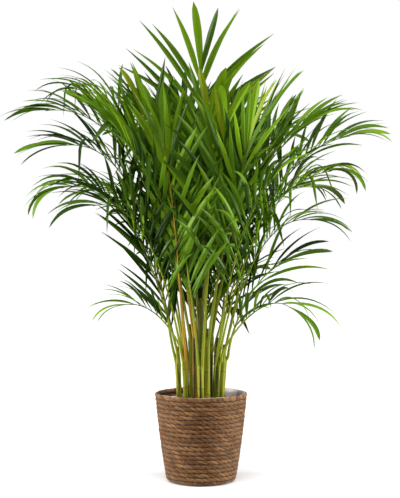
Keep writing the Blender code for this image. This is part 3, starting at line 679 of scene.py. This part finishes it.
# every stalk and rib: rings with a groove on top, and below each a sheath down its cane's side.
# radius = thinning law + footExtra * exp(-distance from the cane / footLength), and less down the sheath
def makeRibs(paths):
    turn = np.linspace(0, 2 * np.pi, stalk["sides"], endpoint=False)
    groove = 1 - stalk["groove"] * np.clip(np.cos(turn), 0, 1) ** 4
    share = np.linspace(0, 1, stalk["points"])
    down = np.linspace(1, 0, stalk["sheathPoints"], endpoint=False)
    rings = stalk["points"] + len(down)
    points, faces, picks = [], [], []
    for index, (name, path) in enumerate(zip(fronds, paths)):
        _, side, upper = ribFrame(path, fronds[name])
        foot, top = caneEnds(fronds[name]["stem"])
        length = np.linalg.norm(np.diff(path, axis=0), axis=1).sum()
        extra = stalk["footExtra"] * np.exp(-share * length / stalk["footLength"])
        sheathRadius = (stalk["radius"] + stalk["footExtra"]) * (1 - stalk["sheathThinning"] * down)
        radius = np.concatenate([sheathRadius, ribRadius(share) + extra])
        sheath = path[0] - unit(top - foot) * stalk["sheath"] * down[:, None]
        line = np.concatenate([sheath, path])
        side = np.concatenate([np.repeat(side[:1], len(down), axis=0), side])
        upper = np.concatenate([np.repeat(upper[:1], len(down), axis=0), upper])
        ring = side[:, None, :] * np.sin(turn)[:, None] + upper[:, None, :] * np.cos(turn)[:, None]
        points.append((line[:, None, :] + ring * (radius[:, None] * groove)[:, :, None]).reshape(-1, 3))
        base = index * rings * stalk["sides"]
        quads = gridQuads(rings, stalk["sides"])[:, ::-1] + base
        last = base + (rings - 1) * stalk["sides"]
        faces += [list(quad) for quad in quads]
        faces.append(list(range(base, base + stalk["sides"])))
        faces.append(list(range(last, last + stalk["sides"]))[::-1])
        tint = 2 if name in orangeRibs else 1
        whole = np.linspace(0, 1, rings - 1)
        greener = np.repeat(whole > stalk["greenFrom"] + 0.05 * (index % 3), stalk["sides"])
        picks.append(np.concatenate([np.where(greener & (tint == 1), 0, tint), [tint, tint]]))
    piece = makePiece("frondRibs", np.concatenate(points), faces, ribMaterials, np.concatenate(picks),
                      sharp=60)


# Leaflets

# shares of the leaf colours on a frond: bright (painted light), fresh, mid, deep (painted shade), grey green
# (painted sheen), yellow green
leafShares = {
    "usual": (0.16, 0.32, 0.32, 0.16, 0.03, 0.01),
    "paintedLit": (0.42, 0.36, 0.16, 0.04, 0.01, 0.01),
    "paintedShade": (0.03, 0.14, 0.38, 0.43, 0.02, 0.00),
}
# painted light and shade: fronds high up and in front take mostly the lit bright greens; low, back and inner
# fronds mostly the shaded deep greens
leafTones = {
    "paintedLit": ("top", "top_left", "front_high", "front_left", "front_right", "left_inner", "front_arch",
               "right_upper", "right_high", "right_middle"),
    "paintedShade": ("left_steep", "right_low", "back_low", "back_low_left", "back_high", "top_behind",
             "left_front_low", "back_foot_right", "left_middle"),
}


# a direction turned down by an angle, less so the steeper it already stands
def bentPitch(direction, droop):
    flat = np.hypot(direction[..., 0], direction[..., 1])
    pitch = np.degrees(np.arctan2(direction[..., 2], flat))
    return np.maximum(pitch - droop * np.sqrt(flat), leaflet["steepest"])


# Each leaflet is a row of four-cornered V sections along a bending line, closed at both ends.
# pitch(t) falls from the root's towards its end by a power of t, or in one S where the leaflet is bent over;
# half width(t) = width / 2 * outline(t); the two margins stand over the keel by the fold, which opens
# towards the tip
def makeLeaflets(name, path, seed):
    leaf = fronds[name]
    draw = np.random.default_rng(leaflet["seed"] + seed)
    along, side, upper = ribFrame(path, leaf)
    length = np.linalg.norm(np.diff(path, axis=0), axis=1).sum()
    pairs = max(leaflet["fewestPairs"], round(length * (1 - leaf["bare"]) / leaf["spacing"]))
    place = np.repeat(np.linspace(0, 1, pairs), 2)
    sign = np.tile([-1.0, 1.0], pairs)
    ending = place == 1
    place = np.where(ending, 1, np.clip(place + draw.normal(0, leaflet["placeStray"], len(place)), 0, 1))
    share = leaf["bare"] + (leaflet["lastPair"] - leaf["bare"]) * place
    spot = np.linspace(0, 1, stalk["points"])

    def read(values):
        return np.stack([np.interp(share, spot, values[:, axis]) for axis in range(3)], axis=1)

    root, ahead, right, over = read(path), unit(read(along)), unit(read(side)), unit(read(upper))
    out = right * sign[:, None]
    count = len(place)
    atBase, atEnd = leaf["forward"]
    forward = atBase + (atEnd - atBase) * place ** leaflet["forwardBias"]
    opened = np.radians(forward + draw.normal(0, leaflet["angleStray"], count) * (1 - 0.7 * ending))[:, None]
    lift = np.radians(leaf["raised"] + draw.normal(0, leaflet["liftStray"], count))[:, None]
    droop = leaf["droop"] * draw.uniform(*leaflet["droops"], count)
    bentOver = (draw.uniform(0, 1, count) < leaflet["bentOver"]) & ~ending
    bentOver = bentOver & (leaf["droop"] > leaflet["bentNeedsDroop"])
    droop = np.where(bentOver, leaflet["bentDroop"], droop)
    shorter = leaflet["tipShortening"] * place ** 5 + leaflet["baseShortening"] * (1 - place) ** 5
    size = leaf["length"] * (1 - shorter) * draw.uniform(*leaflet["lengths"], count)
    width = leaf["width"] * draw.uniform(*leaflet["widths"], count) * np.where(ending, leaflet["endWidth"], 1)
    away = out * np.cos(lift) + over * np.sin(lift)
    first = unit(ahead * np.cos(opened) + away * np.sin(opened))

    t = np.linspace(0, 1, leaflet["stations"])
    turned = np.arctan2(first[:, 1], first[:, 0])[:, None]
    turned = turned + draw.normal(0, leaflet["turnStray"], count)[:, None] * t
    started = np.arctan2(first[:, 2], np.hypot(first[:, 0], first[:, 1]))[:, None]
    ended = np.radians(bentPitch(first, droop))[:, None]
    power = draw.uniform(*leaflet["bendPowers"], (count, 1))
    bend = np.clip((t - leaflet["bentFrom"]) / leaflet["bentOverLength"], 0, 1)
    usual = np.clip(t * 1.12, 0, 1) ** power
    bending = np.where(bentOver[:, None], bend ** 2 * (3 - 2 * bend), usual)
    pitch = started + (ended - started) * bending
    level = np.cos(pitch)
    facing = np.stack([np.cos(turned) * level, np.sin(turned) * level, np.sin(pitch)], axis=-1)
    steps = (facing[:, 1:] + facing[:, :-1]) / 2 * (size / (leaflet["stations"] - 1))[:, None, None]
    walked = np.concatenate([np.zeros((count, 1, 3)), np.cumsum(steps, axis=1)], axis=1)
    middle = root[:, None, :] + walked

    # the upper face turns with the bend, about the level direction square to it
    face = unit(np.cross(first, ahead) * sign[:, None])
    face = np.where((face * over).sum(axis=1)[:, None] < 0, -face, face)[:, None, :]
    fall = (pitch - started)[:, :, None]
    axis = np.stack([np.sin(turned), -np.cos(turned), 0 * turned], axis=-1)
    dot = (axis * face).sum(axis=-1, keepdims=True)
    face = face * np.cos(fall) + np.cross(axis, face) * np.sin(fall) + axis * dot * (1 - np.cos(fall))
    face = unit(face - (face * facing).sum(axis=-1, keepdims=True) * facing)
    across = np.cross(face, facing)
    twist = draw.normal(0, leaflet["twistStray"], count)[:, None, None] * t[None, :, None]
    c, s = np.cos(twist), np.sin(twist)
    face, across = face * c + across * s, across * c - face * s

    slim = np.interp(t, leaflet["slimAt"], leaflet["slim"])
    blunt = np.interp(t, leaflet["bluntAt"], leaflet["blunt"])
    outline = np.where(ending[:, None], blunt, slim)
    half = (width[:, None] / 2 * outline)[:, :, None]
    fold = np.radians(leaflet["fold"] * (1.25 - 0.7 * t))[None, :, None]
    thick = (leaflet["thickness"] / 2 * np.interp(t, [0, 0.1, 1], [1.6, 1.0, 0.25]))[None, :, None]
    ring = np.stack([middle + across * half * np.cos(fold) + face * half * np.sin(fold),
                     middle + face * thick,
                     middle - across * half * np.cos(fold) + face * half * np.sin(fold),
                     middle - face * thick], axis=2)

    stations = leaflet["stations"]
    one = gridQuads(stations, 4)
    last = (stations - 1) * 4
    one = np.concatenate([one, [[3, 2, 1, 0]], [[last, last + 1, last + 2, last + 3]]])
    quads = (one[None] + stations * 4 * np.arange(count)[:, None, None]).reshape(-1, 4)
    tone = next((tone for tone, names in leafTones.items() if name in names), "usual")
    shares = np.array(leafShares[tone])
    picks = np.repeat(draw.choice(len(leafMaterials), count, p=shares / shares.sum()), len(one))
    uv = np.stack([np.broadcast_to(np.array([1.0, 0.5, 0.0, 0.5]), ring.shape[:3]),
                   np.broadcast_to(t[None, :, None], ring.shape[:3])], axis=-1)
    piece = makePiece("leaflets_" + name, ring, quads, leafMaterials, picks, uv, sharp=30)
    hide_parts("frond_" + name)
    return len(quads) * 2


makeBasket()
makeLiner()
makeSoil()
print("pot made")
makeCanes()
ribPaths = easeApart([ribPath(name) for name in fronds])
makeRibs(ribPaths)
print("canes and ribs made")
triangles = sum(makeLeaflets(name, path, seed) for seed, (name, path) in enumerate(zip(fronds, ribPaths)))
print("leaflets made,", triangles, "triangles")


# Floor, light and camera

studio = {
    "floorSize": 400.0, "floorColour": (0.90, 0.90, 0.90), "floorBounce": (0.35, 0.35, 0.33),
    "floorGlow": 0.05, "floorDrop": 0.0005, "aim": (0, 0, 0.6),
    "skyLight": 0.30, "sun": {"strength": 3.4, "tilt": 27, "turn": -8, "softness": 70},
    "left": {"place": (-2.4, -0.1, 0.5), "size": 1.2, "power": 85.0},
    "right": {"place": (2.4, -0.1, 0.5), "size": 1.2, "power": 95.0},
}


def addLight(name, place, size, power):
    data = bpy.data.lights.new(name, "AREA")
    data.shape = "DISK"
    data.size = size
    data.energy = power
    light = bpy.data.objects.new(name, data)
    light.location = place
    aim = np.array(studio["aim"]) - np.array(place)
    light.rotation_euler = (math.acos(-aim[2] / np.linalg.norm(aim)), 0, math.atan2(-aim[0], aim[1]))
    bpy.context.scene.collection.objects.link(light)


# the floor looks pale to the camera and bounces less light than it shows, as a distant backdrop does
def makeFloorMaterial():
    material = makeMaterial("paleFloor", studio["floorColour"], (0.85, 0.95), 2.0, 0.02, 20.0)
    nodes, links = material.node_tree.nodes, material.node_tree.links
    shader = nodes["Principled BSDF"]
    shader.inputs["Emission Color"].default_value = (1, 1, 1, 1)
    shader.inputs["Emission Strength"].default_value = studio["floorGlow"]
    dim, mix, rays = nodes.new("ShaderNodeBsdfDiffuse"), nodes.new("ShaderNodeMixShader"), \
        nodes.new("ShaderNodeLightPath")
    dim.inputs["Color"].default_value = (*studio["floorBounce"], 1)
    links.new(rays.outputs["Is Camera Ray"], mix.inputs["Fac"])
    links.new(dim.outputs["BSDF"], mix.inputs[1])
    links.new(shader.outputs["BSDF"], mix.inputs[2])
    links.new(mix.outputs["Shader"], nodes["Material Output"].inputs["Surface"])
    return material


def makeStudio():
    half, level = studio["floorSize"] / 2, -studio["floorDrop"]
    mesh = bpy.data.meshes.new("floor")
    mesh.from_pydata([(-half, -half, level), (half, -half, level), (half, half, level),
                      (-half, half, level)], [], [(0, 1, 2, 3)])
    mesh.materials.append(makeFloorMaterial())
    floor = bpy.data.objects.new("floor", mesh)
    bpy.context.scene.collection.objects.link(floor)
    world = bpy.data.worlds.new("studioWorld")
    bpy.context.scene.world = world
    world.use_nodes = True
    nodes, links = world.node_tree.nodes, world.node_tree.links
    light, seen = nodes["Background"], nodes.new("ShaderNodeBackground")
    mix, rays = nodes.new("ShaderNodeMixShader"), nodes.new("ShaderNodeLightPath")
    light.inputs["Color"].default_value = seen.inputs["Color"].default_value = (1, 1, 1, 1)
    light.inputs["Strength"].default_value = studio["skyLight"]
    seen.inputs["Strength"].default_value = 1.0
    links.new(rays.outputs["Is Camera Ray"], mix.inputs["Fac"])
    links.new(light.outputs["Background"], mix.inputs[1])
    links.new(seen.outputs["Background"], mix.inputs[2])
    links.new(mix.outputs["Shader"], nodes["World Output"].inputs["Surface"])
    for name in ("left", "right"):
        addLight(name + "Light", studio[name]["place"], studio[name]["size"], studio[name]["power"])
    sun = bpy.data.lights.new("sunLight", "SUN")
    sun.energy = studio["sun"]["strength"]
    sun.angle = math.radians(studio["sun"]["softness"])
    overhead = bpy.data.objects.new("sunLight", sun)
    overhead.rotation_euler = (math.radians(studio["sun"]["tilt"]), 0, math.radians(studio["sun"]["turn"]))
    bpy.context.scene.collection.objects.link(overhead)
    data = bpy.data.cameras.new("camera")
    data.sensor_fit = "VERTICAL"
    data.sensor_height = camera["sensorHeight"]
    data.lens = camera["sensorHeight"] * camera["focalShare"]
    view = bpy.data.objects.new("camera", data)
    view.location = camera["place"]
    view.rotation_euler = (math.pi / 2, 0, 0)
    bpy.context.scene.collection.objects.link(view)
    bpy.context.scene.camera = view
    bpy.context.scene.view_settings.view_transform = "Standard"


makeStudio()
print("studio made")
